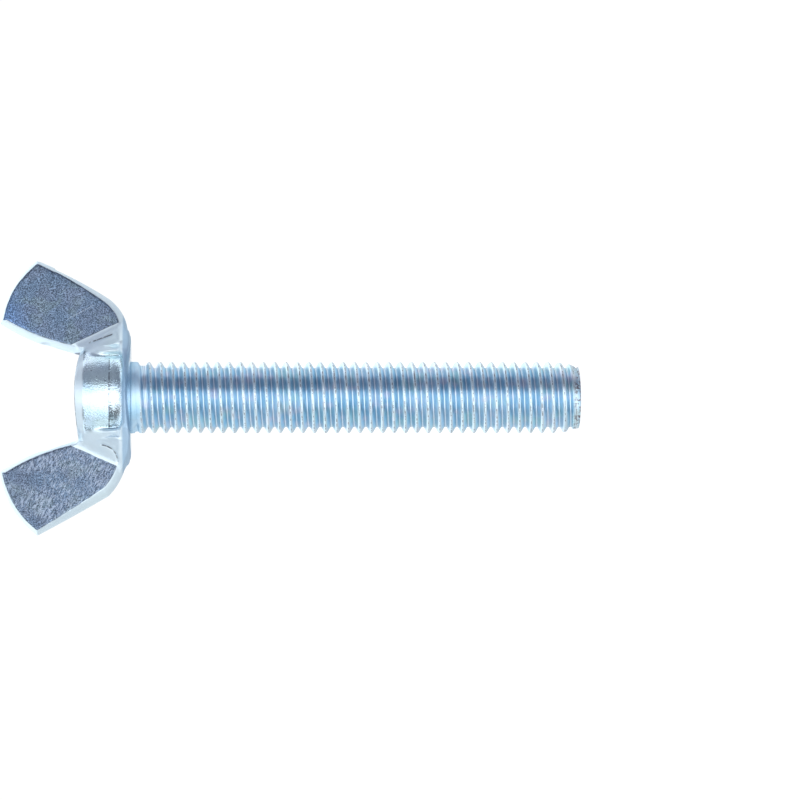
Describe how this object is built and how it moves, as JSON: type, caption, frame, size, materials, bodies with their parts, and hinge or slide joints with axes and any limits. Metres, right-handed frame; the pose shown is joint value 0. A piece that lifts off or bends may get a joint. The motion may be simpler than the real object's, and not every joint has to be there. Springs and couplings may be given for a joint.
{
  "type": "wing screw",
  "caption": "Forged wing head fixed on a metric threaded stud, for tightening a clamp or cover by hand.",
  "frame": {"origin": "centre of the bearing face under the head, on the screw's axis", "axes": "+Z along the screw's axis from the thread to the head, so the thread points along -Z; X runs from wing tip to wing tip; -Y is the side of the more sharply drafted wing faces"},
  "size_m": [0.0303, 0.0132, 0.0634],
  "materials": {
    "zinc_forging": "blue clear zinc plate, coined flats on the wings",
    "zinc_thread": "blue clear zinc plate over a rolled thread"
  },
  "bodies": {
    "root": {"wing_head": "zinc_forging", "threaded_stud": "zinc_thread"}
  },
  "joints": []
}
